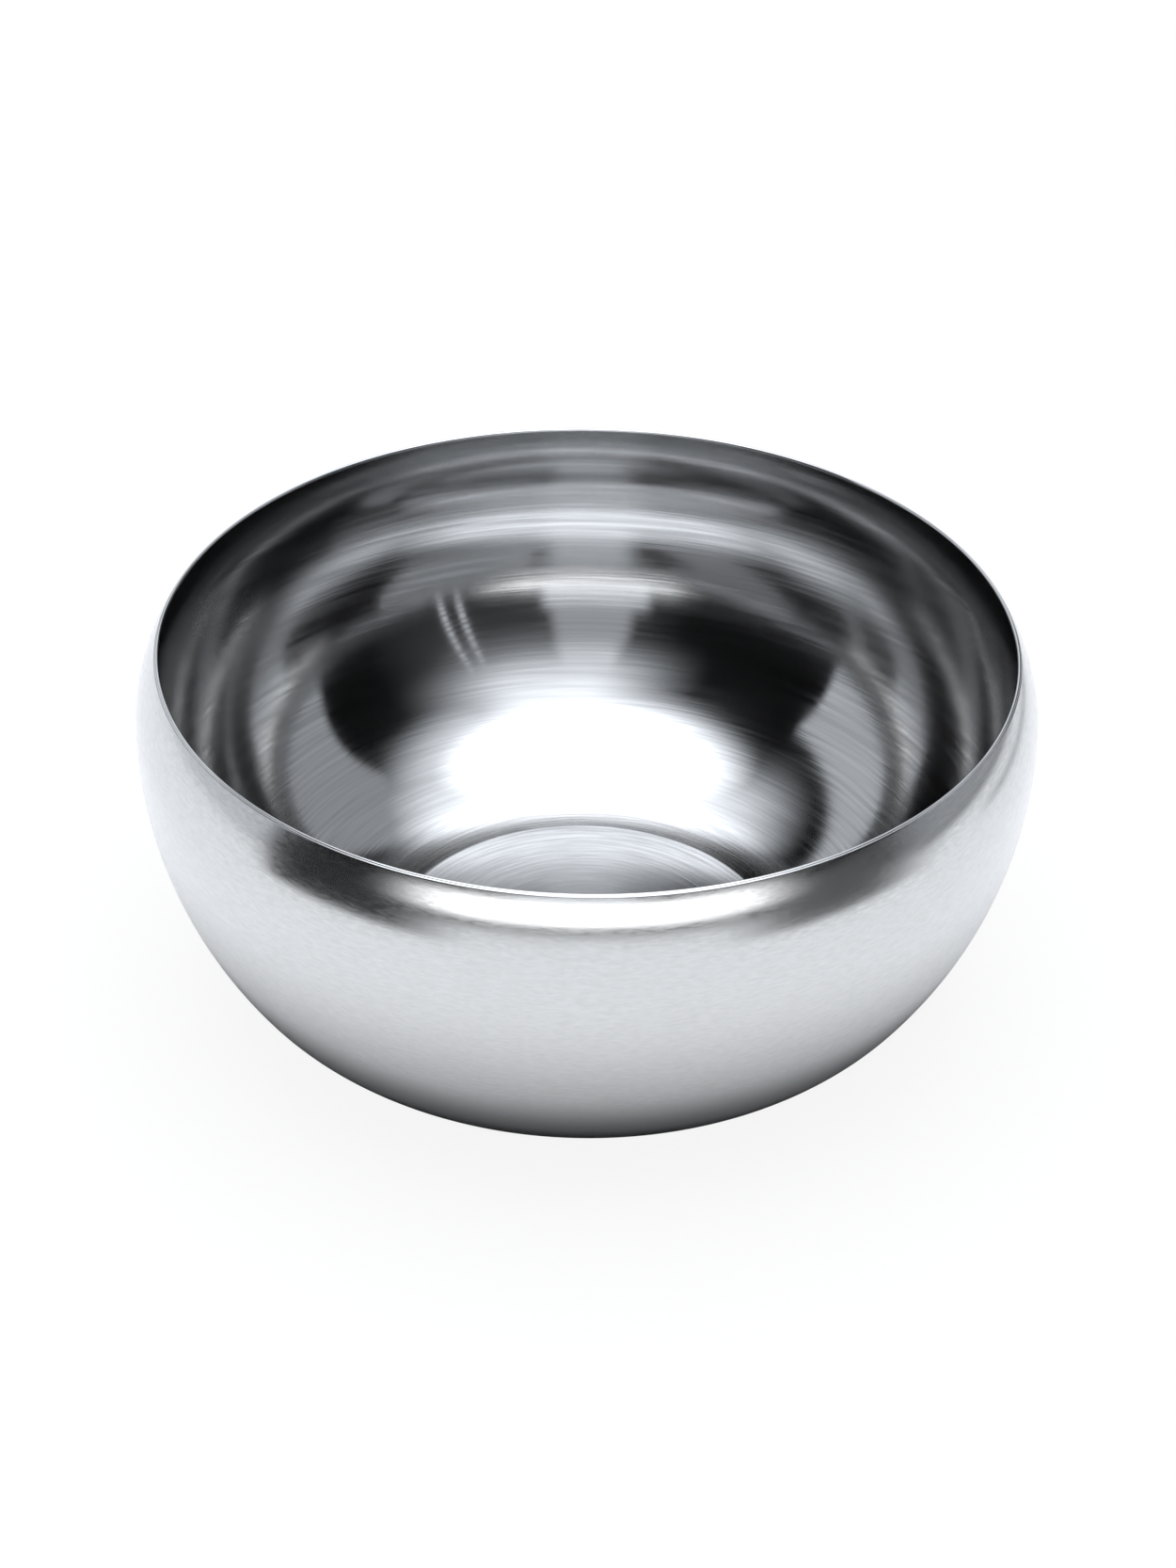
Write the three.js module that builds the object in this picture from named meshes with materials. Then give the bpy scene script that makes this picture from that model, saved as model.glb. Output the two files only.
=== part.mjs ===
// Salad bowl with a double wall: two shells spun from stainless steel sheet, one inside the other, with still air
// between them. Their lips lean in together, and the edge of the inner shell closes over the edge of the outer one,
// where the two are welded.
// Millimetres, +Z up. The origin is the centre of the flat base that the bowl stands on.
import * as THREE from "three";

// Driving dimensions of both shells
const sheetThickness = 0.4; // of each shell
const lipGap = 0.2; // between the two lips, and at the weld under the rim

// Driving dimensions of the outer shell, on its outer face
const widestDiameter = 240; // across the belly, the widest part of the bowl
const cornerRadius = 48; // the round corner between the base and the side wall
const wallRadius = 112; // the side wall, from the corner up to the belly
const wallTurn = THREE.MathUtils.degToRad(34); // how far the side wall turns before it stands upright
const lipRadius = 41; // the lip, above the belly
const lipTurn = THREE.MathUtils.degToRad(31); // how far the lip leans in at the rim

// Driving dimensions of the inner shell, on its inner face
const floorHeight = 7.3; // the flat floor inside, above the surface that the bowl stands on
const floorTurn = THREE.MathUtils.degToRad(9.6); // what the basin leaves for the corner to turn at the floor
const floorCornerRadius = 6; // the corner at the edge of the floor

// How finely the round stretches are faceted
const facetsAround = 64;
const facetTurn = THREE.MathUtils.degToRad(6); // the most that a profile arc turns in one facet
const rimFacets = 4; // over the rounded rim

// The finish, a satin silver grey outside and a brighter brushed one inside
const outerColour = 0xc6cad1;
const outerRoughness = 0.3;
const innerColour = 0xcdd0d6;
const innerRoughness = 0.2;

// What the driving dimensions leave for the flat base, and how high the belly stands
const wallReach = wallRadius * (1 - Math.cos(wallTurn));
const cornerReach = cornerRadius * Math.cos(wallTurn);
const baseRadius = widestDiameter / 2 - wallReach - cornerReach;
const bellyHeight = cornerRadius * (1 - Math.sin(wallTurn)) + wallRadius * Math.sin(wallTurn);

// Both sheets and the gap between them make up the thickness of the rim
const rimThickness = 2 * sheetThickness + lipGap;

// The basin of the inner shell is one arc, from the belly down to the corner of the floor
const basinTurn = Math.PI / 2 - floorTurn;
const cornerDrop = floorCornerRadius * (1 - Math.sin(basinTurn));
const basinRadius = (bellyHeight - floorHeight - cornerDrop) / Math.sin(basinTurn);
const basinReach = basinRadius * (1 - Math.cos(basinTurn)) + floorCornerRadius * Math.cos(basinTurn);
const floorRadius = widestDiameter / 2 - rimThickness - basinReach;

const straightDown = -Math.PI / 2;

// A station is a point of a face in the half plane (r, z), with the angle at which the sheet looks out there:
// straight down is minus a quarter turn, level is zero and positive angles look up.
function station(r, z, facing) {
  return { r, z, facing };
}

// An arc that carries on smoothly from the last station and bends inwards until the sheet looks out at endFacing.
function bend(last, radius, endFacing) {
  const steps = Math.ceil((endFacing - last.facing) / facetTurn);
  const stations = [];
  for (let i = 1; i <= steps; i++) {
    const facing = THREE.MathUtils.lerp(last.facing, endFacing, i / steps);
    const r = last.r + radius * (Math.cos(facing) - Math.cos(last.facing));
    const z = last.z + radius * (Math.sin(facing) - Math.sin(last.facing));
    stations.push(station(r, z, facing));
  }
  return stations;
}

// A face from the edge of its flat middle up to the end of its lip, as arcs that meet without a kink.
function face(start, arcs) {
  const stations = [start];
  for (const [radius, endFacing] of arcs) {
    stations.push(...bend(stations.at(-1), radius, endFacing));
  }
  return stations;
}

// The point that lies this far out from a face at a station, or under it where the distance is negative.
function outFrom(at, distance) {
  return new THREE.Vector2(at.r + distance * Math.cos(at.facing), at.z + distance * Math.sin(at.facing));
}

// The section of the outer shell: out along the underside of the base, up the outer face to the weld under the rim,
// across the cut edge and back down inside the sheet.
function outerSection() {
  const lipEnd = lipTurn - lipGap / lipRadius;
  const stations = face(station(baseRadius, 0, straightDown), [
    [cornerRadius, -wallTurn],
    [wallRadius, 0],
    [lipRadius, lipEnd],
  ]);
  const outside = stations.map((at) => outFrom(at, 0));
  const inside = stations.map((at) => outFrom(at, -sheetThickness)).reverse();
  const baseCentre = new THREE.Vector2(0, 0);
  const insideCentre = new THREE.Vector2(0, sheetThickness);
  return [baseCentre, ...outside, ...inside, insideCentre];
}

// The rim: a half round as thick as both sheets and their gap, from outside the lip to inside it.
function rimRound(lipEdge) {
  const roundRadius = rimThickness / 2;
  const middle = outFrom(lipEdge, roundRadius);
  const points = [];
  for (let i = 0; i < rimFacets; i++) {
    const facing = lipEdge.facing + (Math.PI * i) / rimFacets;
    const outwards = new THREE.Vector2(Math.cos(facing), Math.sin(facing));
    points.push(middle.clone().addScaledVector(outwards, roundRadius));
  }
  return points;
}

// The section of the inner shell: out along the underside of the floor, up the hidden face to the lip, out over the
// edge of the outer shell, round the rim and back down the inner face.
function innerSection() {
  const stations = face(station(floorRadius, floorHeight, straightDown), [
    [floorCornerRadius, -basinTurn],
    [basinRadius, 0],
    [lipRadius - rimThickness, lipTurn],
  ]);
  const hidden = stations.map((at) => outFrom(at, sheetThickness));
  const inside = stations.map((at) => outFrom(at, 0)).reverse();
  const underCentre = new THREE.Vector2(0, floorHeight - sheetThickness);
  const floorCentre = new THREE.Vector2(0, floorHeight);
  return [underCentre, ...hidden, ...rimRound(stations.at(-1)), ...inside, floorCentre];
}

// A section turned about the upright axis, in bare steel.
function spunShell(name, section, colour, roughness) {
  const geometry = new THREE.LatheGeometry(section, facetsAround);
  geometry.rotateX(Math.PI / 2);
  const steel = new THREE.MeshStandardMaterial({ color: colour, roughness, metalness: 1 });
  const mesh = new THREE.Mesh(geometry, steel);
  mesh.name = name;
  return mesh;
}

const bowl = new THREE.Group();
bowl.add(spunShell("bowl_shell", outerSection(), outerColour, outerRoughness));
bowl.add(spunShell("inner_basin", innerSection(), innerColour, innerRoughness));

export default bowl;
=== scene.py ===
# %% [markdown]
# # A double-wall steel salad bowl
#
# The real bowl is two shells of thin stainless steel sheet. Each was pressed over a turning form until it had its
# curve, then the smaller one was set into the larger one and the two were welded together at the rim, with still air
# between them, so that a chilled salad does not make the outside wet. There is nothing else on it. The whole look
# rests on two things: how true the curves are, and what the bare metal mirrors. The lesson starts from the measured
# solid bowl, which already has the right size, and dresses it with a finer surface.

# %% Load the solid bowl
import math

import bpy
import numpy as np
from mathutils import Matrix, Vector


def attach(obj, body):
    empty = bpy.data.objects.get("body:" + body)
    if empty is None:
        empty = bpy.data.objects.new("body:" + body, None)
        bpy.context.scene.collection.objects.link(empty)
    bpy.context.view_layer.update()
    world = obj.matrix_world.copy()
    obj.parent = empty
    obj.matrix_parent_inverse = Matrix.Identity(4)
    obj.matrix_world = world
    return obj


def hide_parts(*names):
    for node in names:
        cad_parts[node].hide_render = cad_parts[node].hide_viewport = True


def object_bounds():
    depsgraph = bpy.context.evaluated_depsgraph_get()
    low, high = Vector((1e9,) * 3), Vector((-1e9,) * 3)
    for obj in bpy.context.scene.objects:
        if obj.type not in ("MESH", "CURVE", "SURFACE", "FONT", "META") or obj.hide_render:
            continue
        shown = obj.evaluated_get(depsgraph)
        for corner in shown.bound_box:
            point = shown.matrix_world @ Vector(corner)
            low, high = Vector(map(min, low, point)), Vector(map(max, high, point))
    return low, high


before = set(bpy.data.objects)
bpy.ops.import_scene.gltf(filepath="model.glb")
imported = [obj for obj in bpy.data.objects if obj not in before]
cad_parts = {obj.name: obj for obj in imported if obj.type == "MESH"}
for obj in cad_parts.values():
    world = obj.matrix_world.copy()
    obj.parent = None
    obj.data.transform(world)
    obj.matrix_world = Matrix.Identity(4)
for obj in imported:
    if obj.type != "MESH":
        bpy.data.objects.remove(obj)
solid_low, solid_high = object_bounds()
MM = 0.001
print("solid bowl, mm:", [round((high - low) / MM, 2) for low, high in zip(solid_low, solid_high)])

# %% [markdown]
# ## The curves of the two sheets
#
# A spun bowl is the same all the way round, so one half section of each shell says everything. It could be drawn as a
# spline, but the forms that sheet is spun over are turned with plain radii. The outer shell has a round corner under
# the side, a long slow wall and a shorter radius for the lip that leans in. The inner shell is one deep arc from the
# belly down to a small corner at the edge of a flat floor. Arcs that meet without a kink give the same calm
# reflections as the real metal. Only a few sizes drive both: the rest is what they leave over.

# %% Driving sizes, in millimetres
widest_radius = (solid_high.x - solid_low.x) / 2 / MM
sheet, lip_gap = 0.4, 0.2
corner_radius, wall_radius, lip_radius = 48.0, 112.0, 41.0
wall_turn, lip_turn = math.radians(34.0), math.radians(31.0)
floor_height, floor_corner = 7.3, 6.0
basin_turn = math.radians(90.0 - 9.6)

rim_thickness = 2 * sheet + lip_gap
base_radius = widest_radius - wall_radius * (1 - math.cos(wall_turn)) - corner_radius * math.cos(wall_turn)
belly_height = corner_radius * (1 - math.sin(wall_turn)) + wall_radius * math.sin(wall_turn)
basin_rise = belly_height - floor_height - floor_corner * (1 - math.sin(basin_turn))
basin_radius = basin_rise / math.sin(basin_turn)
basin_reach = basin_radius * (1 - math.cos(basin_turn)) + floor_corner * math.cos(basin_turn)
basin_floor = widest_radius - rim_thickness - basin_reach
print("flat base and flat floor, mm across:", round(2 * base_radius, 1), round(2 * basin_floor, 1))


# %% A face as a run of arcs
def face(flat_radius, flat_height, arcs, flat_points=24):
    """Radius, height and facing along a face, from the axis to the end of its lip.

    Facing is the angle of the outward normal above the horizon. The flat disc faces straight down. On an arc of
    radius R that starts at r0, z0 facing f0, the radius is r0 + R (cos f - cos f0) and the height is
    z0 + R (sin f - sin f0).
    """
    radius = np.linspace(0.0, flat_radius, flat_points)
    height = np.full(flat_points, flat_height)
    facing = np.full(flat_points, -math.pi / 2)
    for bend, end, count in arcs:
        turn = np.linspace(facing[-1], end, count + 1)
        arc_radius = radius[-1] + bend * (np.cos(turn) - np.cos(turn[0]))
        arc_height = height[-1] + bend * (np.sin(turn) - np.sin(turn[0]))
        radius = np.append(radius, arc_radius[1:])
        height = np.append(height, arc_height[1:])
        facing = np.append(facing, turn[1:])
    return radius, height, facing


def moved_out(one_face, distance):
    """Radius and height of a face moved square to itself: r + d cos f, z + d sin f. Its middle stays on the axis."""
    radius, height, facing = one_face
    return radius + distance * np.cos(facing) * (radius > 0), height + distance * np.sin(facing)


seam = 0.02
outer_arcs = ((corner_radius, -wall_turn, 56), (wall_radius, 0.0, 56), (lip_radius, lip_turn - seam / lip_radius, 36))
inner_arcs = ((floor_corner, -basin_turn, 12), (basin_radius, 0.0, 100), (lip_radius - rim_thickness, lip_turn, 36))
outer = face(base_radius, 0.0, outer_arcs)
inner = face(basin_floor, floor_height, inner_arcs)
print("points on the outer and inner face:", len(outer[0]), len(inner[0]))

# %% [markdown]
# ## Sheet thickness and rim
#
# Each shell also has a hidden face, a sheet's thickness behind the one that shows. A Solidify modifier would make it
# too, but doing it on the section keeps the arcs true. At the rim the inner sheet closes over the edge of the outer
# one, and the weld is ground to a half round as thick as both sheets. The seam is polished away on the real rim, so
# here the outer lip runs up to within a hair of it.


# %% Closed half sections
def joined(*runs):
    """Several runs of radius and height, end to end, and the number of the run that each point came from."""
    radius, height = (np.concatenate(values) for values in zip(*runs))
    return radius, height, np.repeat(np.arange(len(runs)), [len(run[0]) for run in runs])


def rim_round(one_face, points=12):
    """A half round at the end of a lip: middle r, z plus half the rim's thickness times cos t, sin t."""
    radius, height, facing = (values[-1] for values in one_face)
    half = rim_thickness / 2
    turn = facing + math.pi * np.arange(points) / points
    middle_radius = radius + half * math.cos(facing)
    middle_height = height + half * math.sin(facing)
    return middle_radius + half * np.cos(turn), middle_height + half * np.sin(turn)


def thinned(run, step=6):
    """Every sixth point of a run, and always its ends: enough for a face that never shows."""
    keep = np.union1d(np.arange(0, len(run[0]), step), len(run[0]) - 1)
    return run[0][keep], run[1][keep]


def backwards(run):
    """A run from its end to its start."""
    return run[0][::-1], run[1][::-1]


outer_section = joined(moved_out(outer, 0.0), backwards(thinned(moved_out(outer, -sheet))))
inner_section = joined(thinned(moved_out(inner, sheet)), rim_round(inner), backwards(moved_out(inner, 0.0)))
print("section points:", len(outer_section[0]), len(inner_section[0]), "height, mm:", round(inner_section[1].max(), 2))

# %% [markdown]
# ## Carrying the sections round
#
# Blender's Spin or Screw could turn a section into a shell. Here it is one outer product: every radius times every
# direction round the axis. The first and last points of a section lie on the axis, so each becomes a single vertex
# with a fan of triangles, and the last column joins the first, which leaves no seam. The grain follows the turning
# shell, so the mesh carries its own pattern coordinates as well: the direction round the axis, as a cosine and a sine
# so that it has no seam, and the distance along the section in millimetres.


# %% Shell meshes
def carried_round(name, section, columns=240):
    """A closed surface of revolution: point (i, j) is (r_j cos t_i, r_j sin t_i, z_j) with t_i = 2 pi i / columns.

    Its material slots are the runs that the section is joined from, and its attribute brush_path is
    (cos t_i, sin t_i, distance along the section).
    """
    radius, height, run = section
    along = np.concatenate([[0.0], np.cumsum(np.hypot(np.diff(radius), np.diff(height)))])
    turn = 2 * math.pi * np.arange(columns) / columns
    rings = len(radius) - 2
    x, y = (np.outer(wave(turn), radius[1:-1]) for wave in (np.cos, np.sin))
    points = np.stack([x, y, np.broadcast_to(height[1:-1], x.shape)], axis=-1).reshape(-1, 3)
    poles = np.array([[0.0, 0.0, height[0]], [0.0, 0.0, height[-1]]])
    index = np.arange(columns * rings).reshape(columns, rings)
    ahead = np.roll(index, -1, axis=0)
    quads = np.stack([index[:, :-1], ahead[:, :-1], ahead[:, 1:], index[:, 1:]], axis=-1).reshape(-1, 4)
    first, last = columns * rings, columns * rings + 1
    first_fan = np.stack([np.full(columns, first), ahead[:, 0], index[:, 0]], axis=-1)
    last_fan = np.stack([np.full(columns, last), index[:, -1], ahead[:, -1]], axis=-1)
    mesh = bpy.data.meshes.new(name)
    mesh.from_pydata(np.concatenate([points, poles]) * MM, [], quads.tolist() + first_fan.tolist() + last_fan.tolist())
    mesh.polygons.foreach_set("use_smooth", np.ones(len(mesh.polygons), dtype=bool))
    slots = np.concatenate([np.tile(run[1:-2], columns), np.repeat([run[0], run[-1]], columns)])
    mesh.polygons.foreach_set("material_index", slots.astype(np.int32))
    round_the_axis = [np.repeat(wave(turn), rings) for wave in (np.cos, np.sin)]
    brush = np.stack([*round_the_axis, np.tile(along[1:-1], columns)], axis=-1)
    brush = np.concatenate([brush, [[0.0, 0.0, along[0]], [0.0, 0.0, along[-1]]]])
    path = mesh.attributes.new("brush_path", "FLOAT_VECTOR", "POINT")
    path.data.foreach_set("vector", brush.astype(np.float32).ravel())
    mesh.update()
    piece = bpy.data.objects.new(name, mesh)
    bpy.context.scene.collection.objects.link(piece)
    return piece


outer_shell = carried_round("outer_shell", outer_section)
inner_shell = carried_round("inner_shell", inner_section)
print("faces of the outer and inner shell:", len(outer_shell.data.polygons), len(inner_shell.data.polygons))

# %% [markdown]
# ## Stainless steel, three ways
#
# Bare steel has almost no colour of its own: it returns about two thirds of the light. What tells satin from brushed
# from polished is how it blurs what it mirrors. Outside, the bowl is satin: a fine even grain. Inside, the abrasive
# was held against the turning shell, so the scratches run round it, and light spreads across them, up and down the
# wall, more than along them. The ground weld at the rim was only polished. The grain moves the blur and, a little,
# the brightness of the steel. Real scratches are about a tenth of this spacing. They are drawn coarser here, so that
# they still show at the size of a picture.


# %% Colour and node helpers
def linear(hex_colour):
    """An sRGB hex colour as linear red, green, blue and alpha."""
    parts = [int(hex_colour[i:i + 2], 16) / 255 for i in (0, 2, 4)]
    return [c / 12.92 if c <= 0.04045 else ((c + 0.055) / 1.055) ** 2.4 for c in parts] + [1.0]


def add(tree, kind, settings=None, inputs=None):
    """Adds a node: settings are its own properties, and each input gets a value or a link from another socket."""
    node = tree.nodes.new(kind)
    for name, value in (settings or {}).items():
        setattr(node, name, value)
    for name, value in (inputs or {}).items():
        if isinstance(value, bpy.types.NodeSocket):
            tree.links.new(value, node.inputs[name])
        else:
            node.inputs[name].default_value = value
    return node


# %% A steel finish
def steel(name, dull, bright, roughness, anisotropy, line_spacing, line_runs, blur_change, depth):
    """Bare steel whose grain lines lie line_spacing mm apart and break up line_runs times in a turn.

    Dull and bright are the colours between which the grain moves, roughness is the middle value, blur_change how far
    the grain moves it each way, and depth the height of the grain in millimetres.
    """
    material = bpy.data.materials.new(name)
    material.use_nodes = True
    tree = material.node_tree
    shader = tree.nodes["Principled BSDF"]
    shader.inputs["Metallic"].default_value = 1.0
    shader.inputs["Anisotropic"].default_value = anisotropy
    shader.inputs["Anisotropic Rotation"].default_value = 0.25
    path = add(tree, "ShaderNodeAttribute", {"attribute_name": "brush_path"})
    runs = line_runs / (2 * math.pi)
    stretch = {"Vector": path.outputs["Vector"], "Scale": (runs, runs, 1 / line_spacing)}
    grain_place = add(tree, "ShaderNodeMapping", {}, stretch)
    grain_look = {"Vector": grain_place.outputs["Vector"], "Scale": 1.0, "Detail": 2.0, "Roughness": 0.6}
    grain = add(tree, "ShaderNodeTexNoise", {}, grain_look)
    scratch = add(tree, "ShaderNodeMapRange", {}, {"Value": grain.outputs["Fac"], "From Min": 0.3, "From Max": 0.7})
    span = {"Value": scratch.outputs["Result"], "To Min": roughness + blur_change, "To Max": roughness - blur_change}
    blur = add(tree, "ShaderNodeMapRange", {}, span)
    tree.links.new(blur.outputs["Result"], shader.inputs["Roughness"])
    shades = {0: scratch.outputs["Result"], 6: linear(dull), 7: linear(bright)}
    tone = add(tree, "ShaderNodeMix", {"data_type": "RGBA"}, shades)
    tree.links.new(tone.outputs[2], shader.inputs["Base Color"])
    relief = {"Height": grain.outputs["Fac"], "Strength": 1.0, "Distance": depth * MM}
    bump = add(tree, "ShaderNodeBump", {}, relief)
    tree.links.new(bump.outputs["Normal"], shader.inputs["Normal"])
    around = add(tree, "ShaderNodeTangent", {"direction_type": "RADIAL", "axis": "Z"})
    tree.links.new(around.outputs["Tangent"], shader.inputs["Tangent"])
    return material


# Satin steel gives the eye a soft, even silver with no sharp picture in it.
satin = steel("satin_steel_outside", "cccccc", "d6d6d6", 0.2, 0.0, 0.7, 260, 0.04, 0.006)
# Ring-brushed steel gives clear upright edges, blurred level ones and fine streaks round the wall.
brushed = steel("ring_brushed_steel_inside", "bcbcbc", "cfcfcf", 0.11, 0.85, 1.2, 14, 0.03, 0.015)
# Polished steel gives the rim its thin bright line.
polished = steel("polished_steel_rim", "d2d2d2", "dadada", 0.12, 0.0, 0.8, 60, 0.02, 0.001)
for piece, finishes in ((outer_shell, [satin, satin]), (inner_shell, [brushed, polished, brushed])):
    for finish in finishes:
        piece.data.materials.append(finish)
    print(piece.name, "finishes:", [finish.name for finish in finishes])

# %% [markdown]
# ## Joining the shells to the frame
#
# The welded bowl is rigid, so both shells ride on the one body of the frame. Each stands for its faceted solid, which
# is hidden.

# %% Shells in the frame
for piece, node, slot in (
    (outer_shell, "bowl_shell", "stainless_steel_outside"),
    (inner_shell, "inner_basin", "stainless_steel_inside"),
):
    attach(piece, "root")
    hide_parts(node)
    print(piece.name, "stands for", node)

# %% [markdown]
# ## Floor
#
# The bowl stands on a wide sheet of white paper, wide enough to fill the picture down to a low view. A photographer
# gets pure white by lighting the paper on its own. Here part of what the eye sees of the paper is plain white, and
# the rest is lit paper, so that a soft shadow stays under the bowl. The metal sees mostly lit paper, which darkens the
# underside of the bowl towards the table, together with the painted shadow ring laid round its foot below.


# %% Stage pieces
def on_stage(name, points, faces, material):
    """A mesh in metres that belongs to the studio and not to the bowl."""
    mesh = bpy.data.meshes.new(name)
    mesh.from_pydata(points, [], faces)
    mesh.materials.append(material)
    piece = bpy.data.objects.new(name, mesh)
    bpy.context.scene.collection.objects.link(piece)
    return piece


def matt(name, colour):
    """A material with no shine, for paper and card, and its node tree."""
    material = bpy.data.materials.new(name)
    material.use_nodes = True
    shader = material.node_tree.nodes["Principled BSDF"]
    shader.inputs["Base Color"].default_value = linear(colour)
    shader.inputs["Roughness"].default_value = 1.0
    shader.inputs["Specular IOR Level"].default_value = 0.0
    return material, material.node_tree


# %% Paper floor
floor_half = 12.0
white_for_eye, white_for_metal = 0.9, 0.02
paper, tree = matt("white_paper", "e6e6e6")
ray = add(tree, "ShaderNodeLightPath")
share = add(tree, "ShaderNodeMath", {"operation": "MULTIPLY"}, {0: ray.outputs["Is Camera Ray"], 1: white_for_eye})
for kind in ("Is Glossy Ray", "Is Transmission Ray"):
    more = {0: ray.outputs[kind], 1: white_for_metal, 2: share.outputs[0]}
    share = add(tree, "ShaderNodeMath", {"operation": "MULTIPLY_ADD"}, more)
white = add(tree, "ShaderNodeEmission", {}, {"Color": (1, 1, 1, 1), "Strength": 1.0})
lit_paper = tree.nodes["Principled BSDF"].outputs[0]
both = add(tree, "ShaderNodeMixShader", {}, {"Fac": share.outputs[0], 1: lit_paper, 2: white.outputs[0]})
tree.links.new(both.outputs[0], tree.nodes["Material Output"].inputs["Surface"])
corners = np.array([[-1, -1, 0], [1, -1, 0], [1, 1, 0], [-1, 1, 0]]) * floor_half
floor = on_stage("paper_floor", corners, [[0, 1, 2, 3]], paper)
print("paper, m across:", 2 * floor_half)

# %% [markdown]
# ## Studio tent
#
# A mirror finish is only as good as what stands round it. The bowl is lit from inside a dark tent with lit panels: a
# broad soft one overhead that comes lower in front and behind, a card straight ahead, a pale panel on the left, a
# dimmer one on the right and a tall one behind. Lamps could do the same, but panels with their own soft edges are what
# the metal shows. Each panel is written as directions from the bowl: degrees round from the front, to the right, and
# degrees up. Where panels overlap, the brighter one counts. Two thin upright strips on the right of the front give the
# pair of fine streaks inside the bowl. The camera does not see the tent, so low views look into a white room.

# %% Direction from the bowl
tent_light = bpy.data.materials.new("tent_light")
tent_light.use_nodes = True
sky = tent_light.node_tree
sky.nodes.clear()
place = add(sky, "ShaderNodeTexCoord")
unit = add(sky, "ShaderNodeVectorMath", {"operation": "NORMALIZE"}, {0: place.outputs["Object"]})
split = add(sky, "ShaderNodeSeparateXYZ", {}, {"Vector": unit.outputs["Vector"]})
towards = add(sky, "ShaderNodeMath", {"operation": "MULTIPLY"}, {0: split.outputs["Y"], 1: -1.0})
azimuth = add(sky, "ShaderNodeMath", {"operation": "ARCTAN2"}, {0: split.outputs["X"], 1: towards.outputs[0]})
elevation = add(sky, "ShaderNodeMath", {"operation": "ARCSINE"}, {0: split.outputs["Z"]})


# %% Panels of the tent
def panel(left, right, low, high, side_fade, end_fade, level, slant=0.0):
    """Brightness of one panel, in degrees: full between its edges, and fading across each edge over the fades.

    Its sides move by slant degrees round for each degree up from low.
    """
    middle, half, low, high, side_fade, end_fade = (
        math.radians(v) for v in ((left + right) / 2, (right - left) / 2, low, high, side_fade / 2, end_fade / 2)
    )
    lean = {0: elevation.outputs[0], 1: -slant, 2: low * slant - middle}
    leaning = add(sky, "ShaderNodeMath", {"operation": "MULTIPLY_ADD"}, lean)
    off = add(sky, "ShaderNodeMath", {"operation": "ADD"}, {0: azimuth.outputs[0], 1: leaning.outputs[0]})
    turned = add(sky, "ShaderNodeMath", {"operation": "WRAP"}, {0: off.outputs[0], 1: math.pi, 2: -math.pi})
    away = add(sky, "ShaderNodeMath", {"operation": "ABSOLUTE"}, {0: turned.outputs[0]})
    height = elevation.outputs[0]
    brightness = level
    for angle, edge, fade in ((away.outputs[0], half, side_fade), (height, low, -end_fade), (height, high, end_fade)):
        across_edge = {"Value": angle, "From Min": edge + fade, "From Max": edge - fade, "To Min": 0.0, "To Max": 1.0}
        inside = add(sky, "ShaderNodeMapRange", {"interpolation_type": "SMOOTHSTEP"}, across_edge)
        product = add(sky, "ShaderNodeMath", {"operation": "MULTIPLY"}, {0: brightness, 1: inside.outputs[0]})
        brightness = product.outputs[0]
    return brightness


panels = [
    # The broad soft light overhead, and how far it comes down in front, on the right and behind
    panel(-360, 360, 65, 120, 2, 16, 3.0),
    panel(-22, 52, 49, 80, 50, 28, 1.8),
    panel(45, 150, 58, 80, 40, 16, 1.3),
    panel(145, 215, 54, 80, 30, 14, 3.0),
    panel(115, 245, 57, 80, 60, 20, 1.8),
    # The wash of that light on the front of the tent, with a paler column straight ahead
    panel(-13, 11, 20, 60, 6, 12, 0.5),
    panel(-12, 12, 40, 60, 10, 16, 1.1),
    panel(5, 50, 38, 60, 24, 24, 0.35),
    panel(-20, 60, 20, 60, 30, 30, 0.06),
    # A card straight ahead, wider at its foot
    panel(-24, 19, 13, 18, 6, 4, 1.1),
    panel(-17, 13, 13, 25, 5, 5, 1.2),
    # The pale panel on the left, whose near edge leans, and the brighter strip under it
    panel(-150, -74, 16, 44.5, 3, 3, 0.7, -0.3),
    panel(-150, -75, -20, 17, 4, 4, 0.8),
    # The dimmer panel on the right, whose near edge leans the other way
    panel(80, 125, 16, 56, 4, 4, 0.45, 0.73),
    panel(76, 140, -20, 17, 6, 4, 0.42),
    # A tall pale panel behind the bowl, and a low one that is wider
    panel(159, 201, -5, 60, 16, 6, 1.05),
    panel(150, 210, -10, 16, 10, 6, 0.4),
    # Two thin bright strips on the right of the front
    panel(40.7, 42.3, 12, 48, 1, 8, 0.8),
    panel(35.5, 37.3, 14, 48, 1, 8, 0.7),
    # The dark cloth of the tent itself
    panel(-360, 360, -20, 120, 2, 2, 0.005),
]
glow = panels[0]
for one in panels[1:]:
    glow = add(sky, "ShaderNodeMath", {"operation": "MAXIMUM"}, {0: glow, 1: one}).outputs[0]
light = add(sky, "ShaderNodeEmission", {}, {"Color": linear("f3f8ff"), "Strength": glow})
add(sky, "ShaderNodeOutputMaterial", {}, {"Surface": light.outputs[0]})
print("panels:", len(panels))


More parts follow.
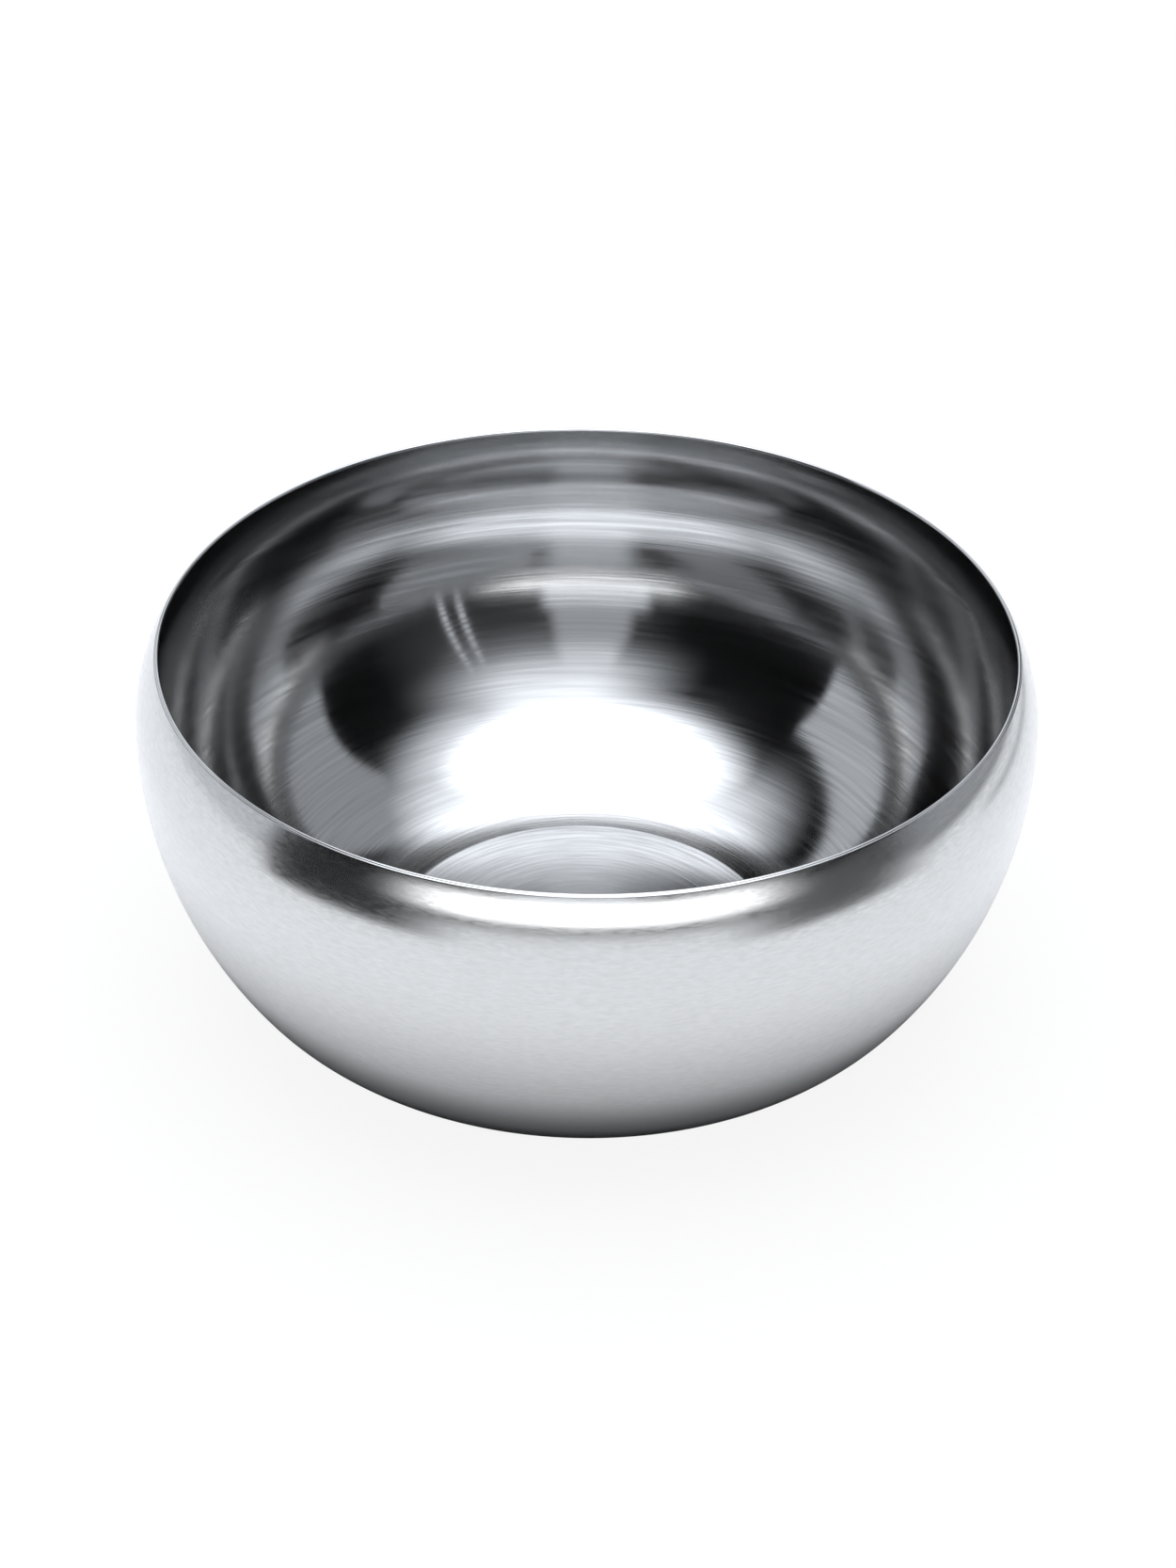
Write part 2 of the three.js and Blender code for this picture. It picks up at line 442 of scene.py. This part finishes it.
# %% Tent
def dome(radius, columns=48, rows=16):
    """A half sphere that stands on the floor: point (i, j) is radius (cos e_j cos t_i, cos e_j sin t_i, sin e_j)."""
    turn = 2 * math.pi * np.arange(columns) / columns
    rise = np.linspace(0.0, math.pi / 2, rows + 1)[:-1]
    x, y = (np.outer(wave(turn), np.cos(rise)) for wave in (np.cos, np.sin))
    points = np.stack([x, y, np.broadcast_to(np.sin(rise), x.shape)], axis=-1).reshape(-1, 3)
    index = np.arange(columns * rows).reshape(columns, rows)
    ahead = np.roll(index, -1, axis=0)
    quads = np.stack([index[:, :-1], index[:, 1:], ahead[:, 1:], ahead[:, :-1]], axis=-1).reshape(-1, 4)
    fan = np.stack([index[:, -1], np.full(columns, columns * rows), ahead[:, -1]], axis=-1)
    return np.concatenate([points, [[0.0, 0.0, 1.0]]]) * radius, quads.tolist() + fan.tolist()


tent = on_stage("studio_tent", *dome(3.0), tent_light)
tent.visible_camera = False
white_room = bpy.data.worlds.new("white_room")
white_room.use_nodes = True
white_room.node_tree.nodes["Background"].inputs["Color"].default_value = (1, 1, 1, 1)
bpy.context.scene.world = white_room
print("tent faces:", len(tent.data.polygons))

# %% [markdown]
# ## Lamp over the paper
#
# The panels alone leave the paper a little grey. One wide lamp over it brings it up to white. The metal is kept from
# mirroring the lamp, so it lights the paper and not the bowl.

# %% Paper lamp
lamp_data = bpy.data.lights.new("paper_lamp", "AREA")
lamp_data.shape = "SQUARE"
lamp_data.size = 2.0
lamp_data.energy = 34.0
lamp = bpy.data.objects.new("paper_lamp", lamp_data)
bpy.context.scene.collection.objects.link(lamp)
lamp.location = (0.0, 0.0, 2.2)
lamp.visible_glossy = False
lamp.visible_camera = False
print("paper lamp, W:", lamp_data.energy)

# %% [markdown]
# ## Cards close to the bowl
#
# Silver needs something dark to be read as silver. Two dark cards stand low in front of the bowl, to the left and the
# right, where the lip mirrors them as soft dark patches. A white strip hangs between them just over the front rim and
# gives the lip its white middle. Two low dark edges lie along the paper on the right and draw the two thin dark lines
# on that flank. The cards' sides fade out, so that no hard corner shows in the satin.


# %% Fading out
def for_metal_only(piece, tree, cover):
    """Hides a piece from all but mirror rays, and fades it out where cover, a number for each point, goes to 0."""
    shade = piece.data.attributes.new("cover", "FLOAT", "POINT")
    shade.data.foreach_set("value", cover.astype(np.float32))
    amount = add(tree, "ShaderNodeAttribute", {"attribute_name": "cover"})
    clear = add(tree, "ShaderNodeBsdfTransparent")
    board = tree.nodes["Principled BSDF"].outputs[0]
    faded = add(tree, "ShaderNodeMixShader", {}, {"Fac": amount.outputs["Fac"], 1: clear.outputs[0], 2: board})
    tree.links.new(faded.outputs[0], tree.nodes["Material Output"].inputs["Surface"])
    piece.visible_camera = False
    piece.visible_diffuse = False
    piece.visible_shadow = False


# %% Cards
def card(name, colour, sides, fades, distance, foot, tops, glow=0.0, steps=40):
    """An upright card on an arc round the bowl, in degrees and metres, whose cover fades in from each side.

    Sides, fades and tops are each a pair, for its left and right. A card without glow is plain board.
    """
    turn = np.linspace(*sides, steps + 1)
    bow = np.radians(turn)
    ring = np.stack([distance * np.sin(bow), -distance * np.cos(bow)], axis=-1)
    low = np.column_stack([ring, np.full(steps + 1, foot)])
    high = np.column_stack([ring, np.linspace(*tops, steps + 1)])
    here, above = np.arange(steps), steps + 1
    board, tree = matt(name + "_board", colour)
    board_shader = tree.nodes["Principled BSDF"]
    board_shader.inputs["Emission Color"].default_value = (1, 1, 1, 1)
    board_shader.inputs["Emission Strength"].default_value = glow
    quads = np.stack([here, here + 1, here + 1 + above, here + above], axis=-1).tolist()
    piece = on_stage(name, np.concatenate([low, high]), quads, board)
    fade_in = np.clip((turn - sides[0]) / fades[0], 0.0, 1.0)
    fade_out = np.clip((sides[1] - turn) / fades[1], 0.0, 1.0)
    cover = (fade_in * fade_out) ** 2 * (3 - 2 * fade_in * fade_out)
    for_metal_only(piece, tree, np.tile(cover, 2))
    return piece


cards = [
    card("left_card", "303030", (-71, -20), (4, 22), 0.41, 0.0, (0.2, 0.15)),
    card("right_card", "606060", (24, 84), (22, 26), 0.41, 0.0, (0.15, 0.2)),
    card("white_strip", "f4f4f4", (-40, 44), (22, 24), 0.24, 0.107, (0.146, 0.146), 2.2),
    card("far_edge", "202020", (74, 150), (10, 10), 0.9, 0.0, (0.05, 0.05)),
    card("near_edge", "202020", (92, 150), (10, 10), 0.4, 0.0, (0.014, 0.014)),
]
print("cards:", [one.name for one in cards])

# %% [markdown]
# ## Painted shadow round the foot of the bowl
#
# Where the bowl turns under, it mirrors the paper right beside its base, which lies in deep shade on a real table. The
# bright tent lights that paper too well, so a thin grey ring is laid there as painted contact shadow, for the metal
# alone to see. It fades out towards its rim, as a shadow does.

# %% Painted shadow ring
shadow_ring_radii, shadow_ring_cover = np.array([0.072, 0.084, 0.112]), np.array([1.0, 1.0, 0.0])
shadow_ring_lift, shadow_ring_steps = 0.0005, 96
turn = 2 * math.pi * np.arange(shadow_ring_steps) / shadow_ring_steps
x, y = (np.outer(shadow_ring_radii, wave(turn)).ravel() for wave in (np.cos, np.sin))
index = np.arange(len(shadow_ring_radii) * shadow_ring_steps).reshape(-1, shadow_ring_steps)
ahead = np.roll(index, -1, axis=1)
quads = np.stack([index[:-1], index[1:], ahead[1:], ahead[:-1]], axis=-1).reshape(-1, 4)
# The grey of this ring is painted shadow: it darkens the paper that the metal mirrors at the bowl's foot, where there
# is only shade.
painted_shadow, tree = matt("painted_shadow_grey", "505050")
shadow_ring = on_stage("painted_shadow_ring", np.column_stack([x, y, np.full(len(x), shadow_ring_lift)]), quads.tolist(), painted_shadow)
for_metal_only(shadow_ring, tree, np.repeat(shadow_ring_cover, shadow_ring_steps))
print("felt ring, mm across:", [round(2 * radius / MM) for radius in shadow_ring_radii])

# %% [markdown]
# ## Camera
#
# The camera was found by fitting the two shells' outline and the front edge of the rim to the picture: it looks down
# by about a third of a right angle with a long lens, so the bowl keeps nearly parallel sides.

# %% Camera
aim = Vector((0.557, 0.0, 59.148)) * MM
rise, roll, distance = math.radians(34.511), math.radians(0.873), 1075.837 * MM
focal_pixels, picture_height, sensor = 4223.176, 1666, 36.0
back = Vector((0.0, -math.cos(rise), math.sin(rise)))
right, up = Vector((1.0, 0.0, 0.0)), Vector((0.0, math.sin(rise), math.cos(rise)))
across = right * math.cos(roll) + up * math.sin(roll)
upright = up * math.cos(roll) - right * math.sin(roll)
lens = bpy.data.cameras.new("photo_camera")
lens.sensor_width = sensor
lens.lens = focal_pixels * sensor / picture_height
lens.clip_start, lens.clip_end = 0.05, 50.0
camera = bpy.data.objects.new("photo_camera", lens)
bpy.context.scene.collection.objects.link(camera)
turned = Matrix((across, upright, back)).transposed().to_4x4()
camera.matrix_world = Matrix.Translation(aim + back * distance) @ turned
bpy.context.scene.camera = camera
bpy.context.scene.view_settings.view_transform = "Standard"
print("lens, mm:", round(lens.lens, 2))
